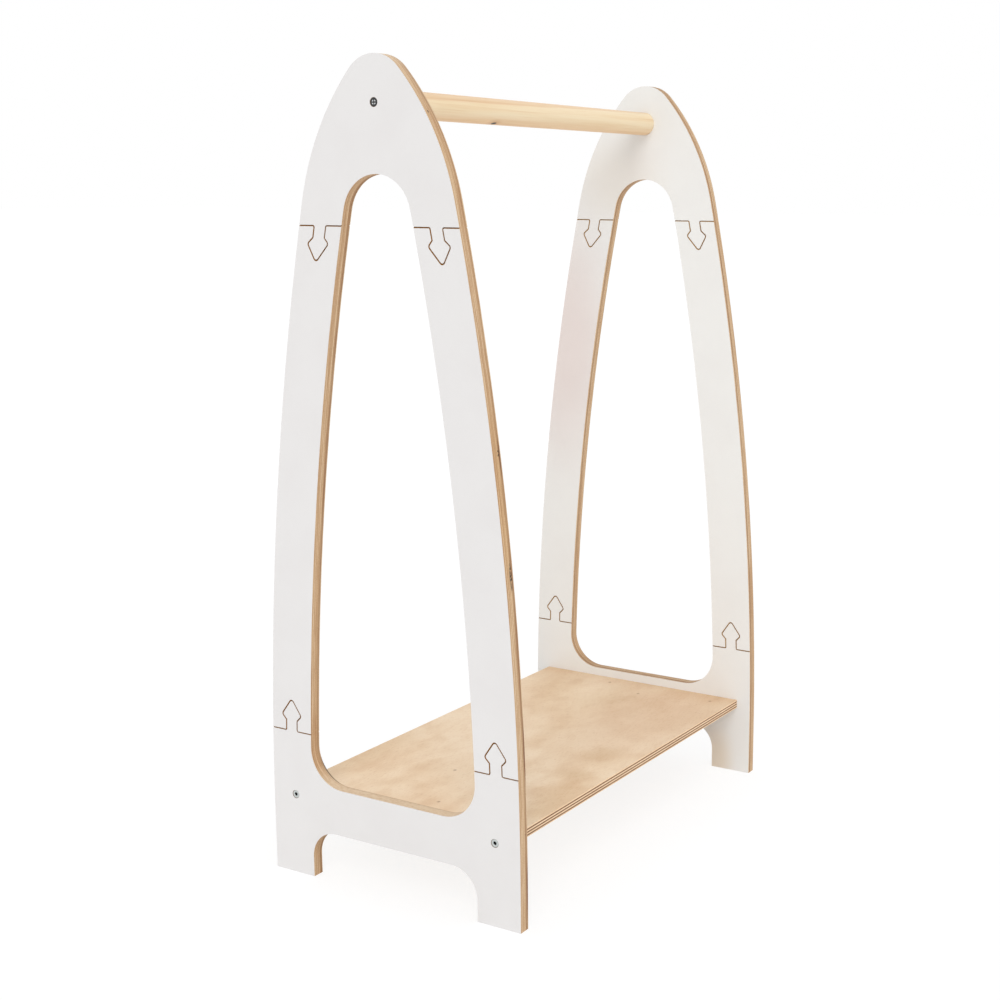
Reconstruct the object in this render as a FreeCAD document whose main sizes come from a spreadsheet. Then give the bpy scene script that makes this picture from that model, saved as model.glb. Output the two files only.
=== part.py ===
import FreeCAD, Part
import math
import os
import Sketcher

# A clothing rack for a child's room. Two bowed plywood end frames stand in YZ planes at the ends of the X axis,
# each pieced together from a crown, two legs and a base with arrow-shaped tabs. A round rail joins the crowns and
# a shelf joins the bases. Z is up and the origin is on the floor, in the middle of the rack.

SIZES = {
    # The whole rack and the board that its end frames are cut from
    "overall_length": 600.0,
    "frame_height": 951.0,
    "frame_width": 356.2,
    "panel_thickness": 15.0,
    "leg_width": 58.3,
    # Outer edge: straight at the foot, one long bow to the shoulder, then two arcs over the crown
    "foot_height": 58.0,
    "shoulder_width": 206.2,
    "crown_rise": 153.4,
    "crown_radius": 43.6,
    # Window in the frame: its sill, its lower corners and the board left above it
    "sill_height": 117.5,
    "sill_corner_radius": 45.0,
    "crown_web": 124.0,
    # Arch between the feet
    "arch_height": 61.0,
    "arch_radius": 35.0,
    # Arrow-shaped tabs: the crown's point down and the base's point up, slanted as the leg is, with level barbs
    "upper_joint_drop": 178.5,
    "lower_joint_height": 178.7,
    "tab_neck_width": 14.5,
    "tab_neck_length": 14.2,
    "tab_barb_width": 27.0,
    "tab_length": 39.3,
    "tab_root": 6.0,
    "tab_round": 2.5,
    "joint_clearance": 0.2,
    "joint_bevel": 1.5,
    # Hanging rail
    "rail_diameter": 30.0,
    "rail_drop": 50.0,
    # Shelf
    "shelf_thickness": 12.0,
    "shelf_height": 94.0,
    "shelf_setback": 20.0,
    # Connector screws through the bases into the shelf
    "shelf_screw_inset": 33.8,
    "shelf_screw_head": 10.0,
    "shelf_screw_shank": 5.0,
    "shelf_screw_length": 50.0,
    "shelf_screw_key": 4.0,
    "shelf_screw_recess": 2.5,
    # Screws through the crowns into the rail
    "rail_screw_head": 10.0,
    "rail_screw_shank": 5.0,
    "rail_screw_length": 60.0,
    "rail_screw_cross": 5.6,
    "rail_screw_blade": 1.3,
    "rail_screw_recess": 1.6,
    # Fit of every screw in its hole, the spare depth of a pilot hole, and how far each cut runs past the board
    "screw_clearance": 0.1,
    "pilot_spare": 2.0,
    "cut_overrun": 4.0,
}

PLANE_TOLERANCE = SIZES["joint_clearance"] / 10
SHARP_TURN = math.pi / 3
ALONG_X = FreeCAD.Rotation(FreeCAD.Vector(0, 1, 0), 90)
STAND_UP = FreeCAD.Rotation(FreeCAD.Vector(1, 1, 1), 120)
POINT_UP = FreeCAD.Rotation()
POINT_DOWN = FreeCAD.Rotation(FreeCAD.Vector(1, 0, 0), 180)

# Sizes that follow from the driving ones, as formulas over the sheet
OUTER_FACE = "-dims.overall_length / 2"
INNER_FACE = "dims.panel_thickness - dims.overall_length / 2"
INNER_LENGTH = "dims.overall_length - 2 * dims.panel_thickness"
UPPER_JOINT = "dims.frame_height - dims.upper_joint_drop"
LOWER_JOINT = "dims.lower_joint_height"
RAIL_AXIS = "dims.frame_height - dims.rail_drop"
SHELF_MIDDLE = "dims.shelf_height + dims.shelf_thickness / 2"
SHELF_SCREW_Y = "dims.frame_width / 2 - dims.shelf_screw_inset"
BOW_RISE = "(dims.frame_height - dims.crown_rise - dims.foot_height)"
BOW_LEAN = "((dims.frame_width - dims.shoulder_width) / 2)"
BOW_RADIUS = f"(({BOW_RISE} ^ 2 + {BOW_LEAN} ^ 2) / (2 * {BOW_LEAN}))"
MIDDLE_RADIUS = f"({BOW_RADIUS} - dims.leg_width / 2)"

doc = FreeCAD.newDocument("clothing_rack")
sheet = doc.addObject("Spreadsheet::Sheet", "dims")
for row, (alias, value) in enumerate(SIZES.items(), start=1):
    sheet.set(f"A{row}", alias)
    sheet.set(f"B{row}", str(value))
    sheet.setAlias(f"B{row}", alias)
doc.recompute()


def size(alias):
    """A driving dimension, as the sheet holds it."""
    return float(sheet.get(alias))


def bind(item, **formulas):
    """Ties properties of a document object to formulas over the sheet."""
    for name, formula in formulas.items():
        item.setExpression(name.replace("__", "."), formula)
    return item


def solid(kind, label, rotation=None, **formulas):
    """A new document object with its sizes tied to the sheet and, if given, turned."""
    item = doc.addObject(kind, label)
    if rotation:
        item.Placement.Rotation = rotation
    return bind(item, **formulas)


def combine(kind, label, *items):
    """A boolean of several solids, with the seams between level faces removed."""
    item = doc.addObject(kind, label)
    if kind == "Part::Cut":
        item.Base, item.Tool = items
    else:
        item.Shapes = list(items)
    item.Refine = True
    return item


def mirrored(label, source, normal):
    """The mirror image of a solid across a plane through the origin."""
    item = doc.addObject("Part::Mirroring", label)
    item.Source = source
    item.Normal = normal
    return item


def across_x(label, source):
    """The same piece at the other end of the rack."""
    return mirrored(label, source, FreeCAD.Vector(1, 0, 0))


def across_y(label, source):
    """The same piece at the other side of the frame, front for rear."""
    return mirrored(label, source, FreeCAD.Vector(0, 1, 0))


class Bow:
    """The bow of one side of the frame: every edge and centre line of a leg is an arc about one centre."""

    rise = size("frame_height") - size("crown_rise") - size("foot_height")
    lean = (size("frame_width") - size("shoulder_width")) / 2
    radius = (rise**2 + lean**2) / (2 * lean)
    centre_y = size("frame_width") / 2 - radius
    centre_z = size("foot_height")
    centre = FreeCAD.Vector(centre_y, centre_z, 0)

    @classmethod
    def offset(cls, point):
        """How far a point lies from the middle of the leg."""
        reach = math.hypot(abs(point.y) - cls.centre_y, point.z - cls.centre_z)
        return abs(reach - cls.radius + size("leg_width") / 2)


def angle_at(centre, point):
    """Direction of a point seen from a centre."""
    return math.atan2(point.y - centre.y, point.x - centre.x)


def arc_between(centre, start, end):
    """Circular arc about a centre, anticlockwise from one point to another."""
    circle = Part.Circle(centre, FreeCAD.Vector(0, 0, 1), centre.distanceToPoint(start))
    return Part.ArcOfCircle(circle, angle_at(centre, start), angle_at(centre, end))


def outline_points():
    """Corners and arc centres of half a frame, across and up from the middle of its foot."""
    half_width = size("frame_width") / 2
    top = size("frame_height")
    vector = FreeCAD.Vector
    places = {
        "toe_inner": vector(half_width - size("leg_width"), 0, 0),
        "toe_outer": vector(half_width, 0, 0),
        "heel": vector(half_width, size("foot_height"), 0),
        "shoulder": vector(size("shoulder_width") / 2, top - size("crown_rise"), 0),
        "apex": vector(0, top, 0),
        "crown_centre": vector(0, top - size("crown_radius"), 0),
        "window_top": vector(0, top - size("crown_web"), 0),
        "sill": vector(0, size("sill_height"), 0),
        "arch_top": vector(0, size("arch_height"), 0),
    }
    # The shoulder arc leaves the bow square to the bow's radius and closes on the crown arc.
    outward = (places["shoulder"] - Bow.centre).normalize()
    reach = places["shoulder"] - places["crown_centre"]
    spare = reach.dot(reach) - size("crown_radius") ** 2
    shoulder_radius = spare / (2 * (reach.dot(outward) - size("crown_radius")))
    places["shoulder_centre"] = places["shoulder"] - outward * shoulder_radius
    towards_crown = (places["crown_centre"] - places["shoulder_centre"]).normalize()
    places["crown_start"] = places["crown_centre"] + towards_crown * size("crown_radius")
    # The window's side is an arc about the bow's centre, and its top arc touches both sides.
    inner_radius = Bow.radius - size("leg_width")
    height = places["window_top"].y - Bow.centre_z
    lost = inner_radius**2 - Bow.centre_y**2 - height**2
    window_radius = lost / (2 * (inner_radius - height))
    places["window_centre"] = places["window_top"] - vector(0, window_radius, 0)
    away = (places["window_centre"] - Bow.centre).normalize()
    places["window_shoulder"] = Bow.centre + away * inner_radius
    # The sill's corner arc touches the sill and the window's side.
    corner = size("sill_corner_radius")
    corner_z = size("sill_height") + corner
    corner_y = Bow.centre_y + math.sqrt((inner_radius - corner) ** 2 - (corner_z - Bow.centre_z) ** 2)
    places["corner_centre"] = vector(corner_y, corner_z, 0)
    away = (places["corner_centre"] - Bow.centre).normalize()
    places["corner_end"] = Bow.centre + away * inner_radius
    places["corner_start"] = vector(corner_y, size("sill_height"), 0)
    # The arch's corner arc touches its top and the inner edge of the foot.
    arch = size("arch_radius")
    places["arch_centre"] = places["arch_top"] + vector(places["toe_inner"].x - arch, -arch, 0)
    places["arch_end"] = places["arch_centre"] + vector(0, arch, 0)
    places["arch_start"] = places["arch_centre"] + vector(arch, 0, 0)
    return places


# How a sketch numbers the points of an edge, its axes and its origin
START, END, MIDDLE = range(1, 4)
ACROSS, UPWARD = range(-1, -3, -1)
ORIGIN = (ACROSS, START)


def constrain(sketch, kind, *links, formula=None, name=None):
    """Adds a sketch constraint, tied to a formula over the sheet when it is a size."""
    if formula is None:
        sketch.addConstraint(Sketcher.Constraint(kind, *links))
        return
    measured = sketch.evalExpression(formula)
    number = sketch.addConstraint(Sketcher.Constraint(kind, *links, float(measured)))
    sketch.renameConstraint(number, name)
    sketch.setExpression(f"Constraints.{name}", formula)


def half_outline(sketch):
    """Draws half of the frame's outline, its window and its arch as one closed loop."""
    at = outline_points()
    line, arc = Part.LineSegment, arc_between
    loop = {
        "toe": line(at["toe_inner"], at["toe_outer"]),
        "foot": line(at["toe_outer"], at["heel"]),
        "bow": arc(Bow.centre, at["heel"], at["shoulder"]),
        "shoulder": arc(at["shoulder_centre"], at["shoulder"], at["crown_start"]),
        "crown": arc(at["crown_centre"], at["crown_start"], at["apex"]),
        "web": line(at["apex"], at["window_top"]),
        "window": arc(at["window_centre"], at["window_shoulder"], at["window_top"]),
        "inner_bow": arc(Bow.centre, at["corner_end"], at["window_shoulder"]),
        "corner": arc(at["corner_centre"], at["corner_start"], at["corner_end"]),
        "sill": line(at["sill"], at["corner_start"]),
        "rail": line(at["sill"], at["arch_top"]),
        "arch": line(at["arch_top"], at["arch_end"]),
        "arch_corner": arc(at["arch_centre"], at["arch_start"], at["arch_end"]),
        "inside": line(at["arch_start"], at["toe_inner"]),
    }
    g = {name: sketch.addGeometry(shape, False) for name, shape in loop.items()}
    for a, a_end, b, b_end in (
        ("toe", END, "foot", START),
        ("crown", END, "web", START),
        ("web", END, "window", END),
        ("sill", START, "rail", START),
        ("rail", END, "arch", START),
        ("inside", END, "toe", START),
    ):
        constrain(sketch, "Coincident", g[a], a_end, g[b], b_end)
    for a, a_end, b, b_end in (
        ("foot", END, "bow", START),
        ("bow", END, "shoulder", START),
        ("shoulder", END, "crown", START),
        ("window", START, "inner_bow", END),
        ("inner_bow", START, "corner", END),
        ("corner", START, "sill", END),
        ("arch", END, "arch_corner", END),
        ("arch_corner", START, "inside", START),
    ):
        constrain(sketch, "Tangent", g[a], a_end, g[b], b_end)
    for name in ("toe", "sill", "arch"):
        constrain(sketch, "Horizontal", g[name])
    for name in ("foot", "web", "rail", "inside"):
        constrain(sketch, "Vertical", g[name])
    constrain(sketch, "Coincident", g["bow"], MIDDLE, g["inner_bow"], MIDDLE)
    constrain(sketch, "PointOnObject", g["toe"], START, ACROSS)
    for name, point in (("web", START), ("rail", START), ("crown", MIDDLE), ("window", MIDDLE)):
        constrain(sketch, "PointOnObject", g[name], point, UPWARD)
    for name, point, formula in (
        ("foot", END, "dims.foot_height"),
        ("bow", END, "dims.frame_height - dims.crown_rise"),
        ("crown", END, "dims.frame_height"),
        ("window", END, "dims.frame_height - dims.crown_web"),
        ("sill", START, "dims.sill_height"),
        ("arch", START, "dims.arch_height"),
    ):
        constrain(sketch, "DistanceY", *ORIGIN, g[name], point, formula=formula, name=f"{name}_level")
    for name, formula in (
        ("bow", BOW_RADIUS),
        ("inner_bow", f"{BOW_RADIUS} - dims.leg_width"),
        ("crown", "dims.crown_radius"),
        ("corner", "dims.sill_corner_radius"),
        ("arch_corner", "dims.arch_radius"),
    ):
        constrain(sketch, "Radius", g[name], formula=formula, name=f"{name}_radius")
    constrain(sketch, "DistanceX", *ORIGIN, g["foot"], START, formula="dims.frame_width / 2", name="half_width")
    constrain(sketch, "DistanceX", g["toe"], START, g["toe"], END, formula="dims.leg_width", name="toe_width")


def origin_plane(body, role):
    """One of a body's own base planes."""
    return next(plane for plane in body.Origin.OriginFeatures if plane.Role == role)


def end_frame_blank():
    """The whole end frame before it is parted: half of it padded to the board's thickness, then mirrored."""
    body = doc.addObject("PartDesign::Body", "end_frame_blank")
    sketch = body.newObject("Sketcher::SketchObject", "frame_outline")
    sketch.AttachmentSupport = [(origin_plane(body, "YZ_Plane"), "")]
    sketch.MapMode = "FlatFace"
    half_outline(sketch)
    pad = body.newObject("PartDesign::Pad", "frame_pad")
    pad.Profile = sketch
    bind(pad, Length="dims.panel_thickness")
    mirror = body.newObject("PartDesign::Mirrored", "frame_mirror")
    mirror.Originals = [pad]
    mirror.MirrorPlane = (origin_plane(body, "XZ_Plane"), [""])
    body.Tip = mirror
    return bind(body, Placement__Base__x=OUTER_FACE)


def fix_start(sketch, edge, name, across, up):
    """Fixes where an edge of a sketch starts, by formulas for its distances from the origin."""
    for kind, way, formula in (("DistanceX", "across", across), ("DistanceY", "up", up)):
        links = (*ORIGIN, edge, START)
        if sketch.evalExpression(formula) < 0:
            links = (edge, START, *ORIGIN)
            formula = f"-({formula})"
        constrain(sketch, kind, *links, formula=formula, name=f"{name}_{way}")


def tab_profile(label, joint):
    """Outline of one arrow-shaped tab, pointing up from a joint line through the origin and slanted as the leg is."""
    sketch = doc.addObject("Sketcher::SketchObject", label)
    rise = f"({joint} - dims.foot_height)"
    slant = f"({rise} / sqrt({MIDDLE_RADIUS} ^ 2 - {rise} ^ 2))"
    neck, barb = "dims.tab_neck_width / 2", "dims.tab_barb_width / 2"
    side = [
        ("root", neck, "-dims.tab_root"),
        ("neck", neck, "dims.tab_neck_length"),
        ("barb", barb, f"dims.tab_neck_length + {barb} - {neck}"),
    ]
    right = [(f"right_{name}", f"{half} + ({up}) * {slant}", up) for name, half, up in side]
    left = [(f"left_{name}", f"({up}) * {slant} - {half}", up) for name, half, up in side]
    tip = ("tip", f"dims.tab_length * {slant}", "dims.tab_length")
    corners = [*right, tip, *reversed(left)]
    count = len(corners)
    places = [FreeCAD.Vector(*map(sketch.evalExpression, (across, up)), 0) for name, across, up in corners]
    for number in range(count):
        sketch.addGeometry(Part.LineSegment(places[number], places[(number + 1) % count]), False)
    for number, (name, across, up) in enumerate(corners):
        constrain(sketch, "Coincident", number, END, (number + 1) % count, START)
        fix_start(sketch, number, name, across, up)
    sketch.Placement.Rotation = STAND_UP
    return sketch


def socket_profile(label, tab):
    """The tab's outline grown by the joint's clearance."""
    item = doc.addObject("Part::Offset2D", label)
    item.Source = tab
    item.Join = "Intersection"
    return bind(item, Value="dims.joint_clearance")


def front_key(label, profile, joint, pointing):
    """A profile run through the board at a front leg's joint, in the middle of the leg."""
    item = doc.addObject("Part::Extrusion", label)
    item.Base = profile
    item.DirMode = "Custom"
    item.Dir = FreeCAD.Vector(1, 0, 0)
    item.Solid = True
    item.Placement.Rotation = pointing
    rise = f"({joint} - dims.foot_height)"
    return bind(
        item,
        LengthFwd="dims.panel_thickness",
        Placement__Base__x=OUTER_FACE,
        Placement__Base__y=f"{BOW_RADIUS} - dims.frame_width / 2 - sqrt({MIDDLE_RADIUS} ^ 2 - {rise} ^ 2)",
        Placement__Base__z=joint,
    )


def zone(label, low, high, front_only=False):
    """A block as thick as the board that takes in everything of the frame between two levels."""
    width = "dims.frame_width / 2" if front_only else "dims.frame_width"
    return solid(
        "Part::Box",
        label,
        Length="dims.panel_thickness",
        Width=width,
        Height=f"({high}) - ({low})",
        Placement__Base__x=OUTER_FACE,
        Placement__Base__y="-dims.frame_width / 2",
        Placement__Base__z=low,
    )


def dress(kind, label, rough, edges, amount):
    """A fillet or chamfer of one size along some of a solid's edges."""
    item = doc.addObject(kind, label)
    item.Base = rough
    item.Edges = [(number, size(amount), size(amount)) for number in edges]
    doc.recompute()
    print(label, "edges", len(edges))
    return item


def turn_at(shape, edge):
    """How far a solid's surface turns at an edge between two flat faces."""
    one, other = shape.ancestorsOfType(edge, Part.Face)
    return one.normalAt(0, 0).getAngle(other.normalAt(0, 0))


def round_joint(label, rough, low, high):
    """Rounds the sharp corners of the tabs or sockets that lie between two levels."""
    doc.recompute()
    near_middle = (size("tab_barb_width") + size("leg_width")) / 4
    corners = []
    for number, edge in enumerate(rough.Shape.Edges, start=1):
        middle = edge.CenterOfMass
        through = edge.BoundBox.XLength > size("panel_thickness") / 2
        level = low - PLANE_TOLERANCE < middle.z < high + PLANE_TOLERANCE
        if through and level and Bow.offset(middle) < near_middle and turn_at(rough.Shape, edge) > SHARP_TURN:
            corners.append(number)
    return dress("Part::Fillet", label, rough, corners, "tab_round")


def bevel_joint(label, rounded, low, high):
    """Bevels the joint edges that lie between two levels, on both faces of the board."""
    rims = []
    for number, edge in enumerate(rounded.Shape.Edges, start=1):
        box = edge.BoundBox
        level = low - PLANE_TOLERANCE < box.ZMin and box.ZMax < high + PLANE_TOLERANCE
        if level and box.XLength < size("panel_thickness") / 2:
            rims.append(number)
    return dress("Part::Chamfer", label, rounded, rims, "joint_bevel")


def screw_hole(label, screw, y, z):
    """A countersunk hole through the board for one kind of screw."""
    shank = f"dims.{screw}_shank / 2 + dims.screw_clearance"
    bore = solid(
        "Part::Cylinder",
        f"{label}_bore",
        ALONG_X,
        Radius=shank,
        Height="dims.panel_thickness + 2 * dims.cut_overrun",
        Placement__Base__x=f"{OUTER_FACE} - dims.cut_overrun",
        Placement__Base__y=y,
        Placement__Base__z=z,
    )
    sink = solid(
        "Part::Cone",
        f"{label}_sink",
        ALONG_X,
        Radius1=f"dims.{screw}_head / 2 + dims.screw_clearance",
        Radius2=shank,
        Height=f"(dims.{screw}_head - dims.{screw}_shank) / 2",
        Placement__Base__x=OUTER_FACE,
        Placement__Base__y=y,
        Placement__Base__z=z,
    )
    return combine("Part::MultiFuse", label, bore, sink)


def pilot_hole(label, screw, y, z):
    """A blind hole that takes the shank of a screw in the end of the shelf or the rail."""
    return solid(
        "Part::Cylinder",
        label,
        ALONG_X,
        Radius=f"dims.{screw}_shank / 2 + dims.screw_clearance",
        Height=f"dims.{screw}_length - dims.panel_thickness + dims.pilot_spare + dims.cut_overrun",
        Placement__Base__x=f"{INNER_FACE} - dims.cut_overrun",
        Placement__Base__y=y,
        Placement__Base__z=z,
    )


def left_crown(blank, tab):
    """Arched top of the left frame, with its two tabs and the hole for the rail's screw."""
    top = combine("Part::MultiCommon", "crown_plate", blank, zone("crown_zone", UPPER_JOINT, "dims.frame_height"))
    front = front_key("crown_front_tab", tab, UPPER_JOINT, POINT_DOWN)
    rough = combine("Part::MultiFuse", "crown_with_tabs", top, front, across_y("crown_rear_tab", front))
    joint = size("frame_height") - size("upper_joint_drop")
    rounded = round_joint("crown_rounded", rough, joint - size("tab_length"), joint)
    hole = screw_hole("rail_screw_hole", "rail_screw", "0", RAIL_AXIS)
    return combine("Part::Cut", "left_crown", rounded, hole)


def left_base(blank, tab):
    """Cross rail and feet of the left frame, with its two tabs and the holes for the shelf's screws."""
    bottom = combine("Part::MultiCommon", "base_plate", blank, zone("base_zone", "0", LOWER_JOINT))
    front = front_key("base_front_tab", tab, LOWER_JOINT, POINT_UP)
    rough = combine("Part::MultiFuse", "base_with_tabs", bottom, front, across_y("base_rear_tab", front))
    joint = size("lower_joint_height")
    rounded = round_joint("base_rounded", rough, joint, joint + size("tab_length"))
    front_hole = screw_hole("shelf_screw_hole", "shelf_screw", f"-({SHELF_SCREW_Y})", SHELF_MIDDLE)
    holes = combine("Part::MultiFuse", "base_holes", front_hole, across_y("base_rear_hole", front_hole))
    return combine("Part::Cut", "left_base", rounded, holes)


def left_front_leg(blank, upper_socket, lower_socket):
    """Bowed leg with a bevelled socket at each end, whose shoulders bear on the base and carry the crown."""
    span = zone("leg_zone", LOWER_JOINT, UPPER_JOINT, front_only=True)
    bar = combine("Part::MultiCommon", "leg_bar", blank, span)
    upper_key = front_key("upper_socket", upper_socket, UPPER_JOINT, POINT_DOWN)
    lower_key = front_key("lower_socket", lower_socket, LOWER_JOINT, POINT_UP)
    sockets = combine("Part::MultiFuse", "leg_sockets", upper_key, lower_key)
    rough = combine("Part::Cut", "leg_with_sockets", bar, sockets)
    reach = size("tab_length") + size("tab_round")
    upper_joint = size("frame_height") - size("upper_joint_drop")
    lower_joint = size("lower_joint_height")
    upper, lower = (upper_joint - reach, upper_joint), (lower_joint, lower_joint + reach)
    upper_rounded = round_joint("leg_upper_rounded", rough, *upper)
    rounded = round_joint("leg_rounded", upper_rounded, *lower)
    upper_bevelled = bevel_joint("leg_upper_bevelled", rounded, *upper)
    return bevel_joint("left_front_leg", upper_bevelled, *lower)


def hanging_rail():
    """Round rail between the crowns, with a pilot hole in each end."""
    rod = solid(
        "Part::Cylinder",
        "rail_rod",
        ALONG_X,
        Radius="dims.rail_diameter / 2",
        Height=INNER_LENGTH,
        Placement__Base__x=INNER_FACE,
        Placement__Base__z=RAIL_AXIS,
    )
    left = pilot_hole("rail_left_pilot", "rail_screw", "0", RAIL_AXIS)
    holes = combine("Part::MultiFuse", "rail_pilots", left, across_x("rail_right_pilot", left))
    return combine("Part::Cut", "hanging_rail", rod, holes)


def shelf():
    """Flat shelf between the bases, set back from the frames' edges, with two pilot holes in each end."""
    board = solid(
        "Part::Box",
        "shelf_board",
        Length=INNER_LENGTH,
        Width="dims.frame_width - 2 * dims.shelf_setback",
        Height="dims.shelf_thickness",
        Placement__Base__x=INNER_FACE,
        Placement__Base__y="dims.shelf_setback - dims.frame_width / 2",
        Placement__Base__z="dims.shelf_height",
    )
    front_left = pilot_hole("shelf_pilot", "shelf_screw", f"-({SHELF_SCREW_Y})", SHELF_MIDDLE)
    left = combine("Part::MultiFuse", "left_pilots", front_left, across_y("rear_left_pilot", front_left))
    holes = combine("Part::MultiFuse", "shelf_pilots", left, across_x("right_pilots", left))
    return combine("Part::Cut", "shelf", board, holes)


def screw(label, kind, y, z, recess):
    """A countersunk screw with its head flush in the left frame's outer face, less its driving recess."""
    spot = {"Placement__Base__x": OUTER_FACE, "Placement__Base__y": y, "Placement__Base__z": z}
    head = solid(
        "Part::Cone",
        f"{label}_head",
        ALONG_X,
        Radius1=f"dims.{kind}_head / 2",
        Radius2=f"dims.{kind}_shank / 2",
        Height=f"(dims.{kind}_head - dims.{kind}_shank) / 2",
        **spot,
    )
    shank = solid(
        "Part::Cylinder",
        f"{label}_shank",
        ALONG_X,
        Radius=f"dims.{kind}_shank / 2",
        Height=f"dims.{kind}_length",
        **spot,
    )
    blank = combine("Part::MultiFuse", f"{label}_blank", head, shank)
    return combine("Part::Cut", label, blank, recess)


def shelf_screws():
    """Four connector screws with hexagon sockets, two at each end of the shelf."""
    y = f"-({SHELF_SCREW_Y})"
    socket = solid(
        "Part::Prism",
        "hex_recess",
        ALONG_X,
        Circumradius="dims.shelf_screw_key / sqrt(3)",
        Height="dims.shelf_screw_recess + dims.cut_overrun",
        Placement__Base__x=f"{OUTER_FACE} - dims.cut_overrun",
        Placement__Base__y=y,
        Placement__Base__z=SHELF_MIDDLE,
    )
    front_left = screw("shelf_screw", "shelf_screw", y, SHELF_MIDDLE, socket)
    rear_left = across_y("rear_left_screw", front_left)
    group = doc.addObject("Part::Compound", "shelf_screws")
    group.Links = [
        front_left,
        rear_left,
        across_x("front_right_screw", front_left),
        across_x("rear_right_screw", rear_left),
    ]
    return group


def rail_screws():
    """Two screws with cross recesses, one at each end of the rail."""
    blades = []
    for label, wide, tall in (
        ("upright_blade", "dims.rail_screw_blade", "dims.rail_screw_cross"),
        ("level_blade", "dims.rail_screw_cross", "dims.rail_screw_blade"),
    ):
        blades.append(
            solid(
                "Part::Box",
                label,
                Length="dims.rail_screw_recess + dims.cut_overrun",
                Width=wide,
                Height=tall,
                Placement__Base__x=f"{OUTER_FACE} - dims.cut_overrun",
                Placement__Base__y=f"-{wide} / 2",
                Placement__Base__z=f"{RAIL_AXIS} - {tall} / 2",
            )
        )
    cross = combine("Part::MultiFuse", "cross_recess", *blades)
    left = screw("rail_screw", "rail_screw", "0", RAIL_AXIS, cross)
    group = doc.addObject("Part::Compound", "rail_screws")
    group.Links = [left, across_x("right_rail_screw", left)]
    return group


def build():
    """Every sub-part of the rack, in the order in which it is put together."""
    blank = end_frame_blank()
    upper_tab = tab_profile("upper_tab", UPPER_JOINT)
    lower_tab = tab_profile("lower_tab", LOWER_JOINT)
    sockets = [socket_profile(f"{tab.Label}_socket", tab) for tab in (upper_tab, lower_tab)]
    base = left_base(blank, lower_tab)
    front_leg = left_front_leg(blank, *sockets)
    rear_leg = across_y("left_rear_leg", front_leg)
    crown = left_crown(blank, upper_tab)
    left = [base, front_leg, rear_leg, crown]
    right = [across_x(item.Label.replace("left", "right"), item) for item in left]
    return left + right + [shelf(), hanging_rail(), shelf_screws(), rail_screws()]


pieces = build()
doc.recompute()
for item in doc.Objects:
    if "Invalid" in item.State or "Error" in item.State:
        raise RuntimeError(f"{item.Label} failed: {item.State}")
for piece in pieces:
    if piece.Shape.isNull() or not piece.Shape.isValid():
        raise RuntimeError(f"{piece.Label} has no valid shape")
os.makedirs("parts", exist_ok=True)
for piece in pieces:
    piece.Shape.exportStep(f"parts/{piece.Label}.step")
    box = piece.Shape.BoundBox
    print(
        piece.Label,
        "solids", len(piece.Shape.Solids),
        "volume", round(piece.Shape.Volume),
        "size", round(box.XLength, 1), round(box.YLength, 1), round(box.ZLength, 1),
    )
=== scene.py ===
# %% [markdown]
# # A child's clothing rack: white-faced plywood, a round rail and a bare shelf
# The rack is a knock-down piece of birch plywood. Each end frame is cut in four boards that lock together
# with arrow-shaped joints, a round rail is screwed between the two crowns and a shelf between the two
# bases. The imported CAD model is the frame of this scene: it is loaded first, in metres, and nothing in it
# is moved.

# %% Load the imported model
import math
from functools import partial

import bpy
import numpy as np
from mathutils import Matrix, Vector


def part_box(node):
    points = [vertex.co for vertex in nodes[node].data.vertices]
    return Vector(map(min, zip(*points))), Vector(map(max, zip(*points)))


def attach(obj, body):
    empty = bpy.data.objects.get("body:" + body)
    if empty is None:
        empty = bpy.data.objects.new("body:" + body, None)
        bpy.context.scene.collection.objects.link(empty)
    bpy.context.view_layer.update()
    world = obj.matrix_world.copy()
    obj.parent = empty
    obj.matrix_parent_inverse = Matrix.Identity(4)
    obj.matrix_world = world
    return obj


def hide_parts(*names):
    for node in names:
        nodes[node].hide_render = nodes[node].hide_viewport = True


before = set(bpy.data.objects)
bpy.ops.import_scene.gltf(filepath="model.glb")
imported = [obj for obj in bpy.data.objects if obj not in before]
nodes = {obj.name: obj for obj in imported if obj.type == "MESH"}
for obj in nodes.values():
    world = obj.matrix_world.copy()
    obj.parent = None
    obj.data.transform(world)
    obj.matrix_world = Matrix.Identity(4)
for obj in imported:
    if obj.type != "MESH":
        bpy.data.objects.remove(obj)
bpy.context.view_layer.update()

MM = 0.001
print("CAD nodes:", sorted(nodes))

# %% [markdown]
# ## The camera
# The photograph was taken from the front left, a little below the rail and tilted slightly down. Both end
# frames have the same outline, so their corners in the picture are enough to work out where the camera
# stood, its focal length and the point that its axis meets. That point isn't the middle of the picture,
# because the picture was cropped, and Blender's lens shift stands for that crop.

# %% Camera
PICTURE = 1000
FOCAL_PIXELS = 1590.34
AXIS_PIXEL = Vector((615.9, 522.0))
CAMERA_PLACE = Vector((-1.6671, -1.0922, 0.8073))
HEADING, TILT_DOWN, ROLL = (math.radians(angle) for angle in (30.156, 11.653, 0.2815))

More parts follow.
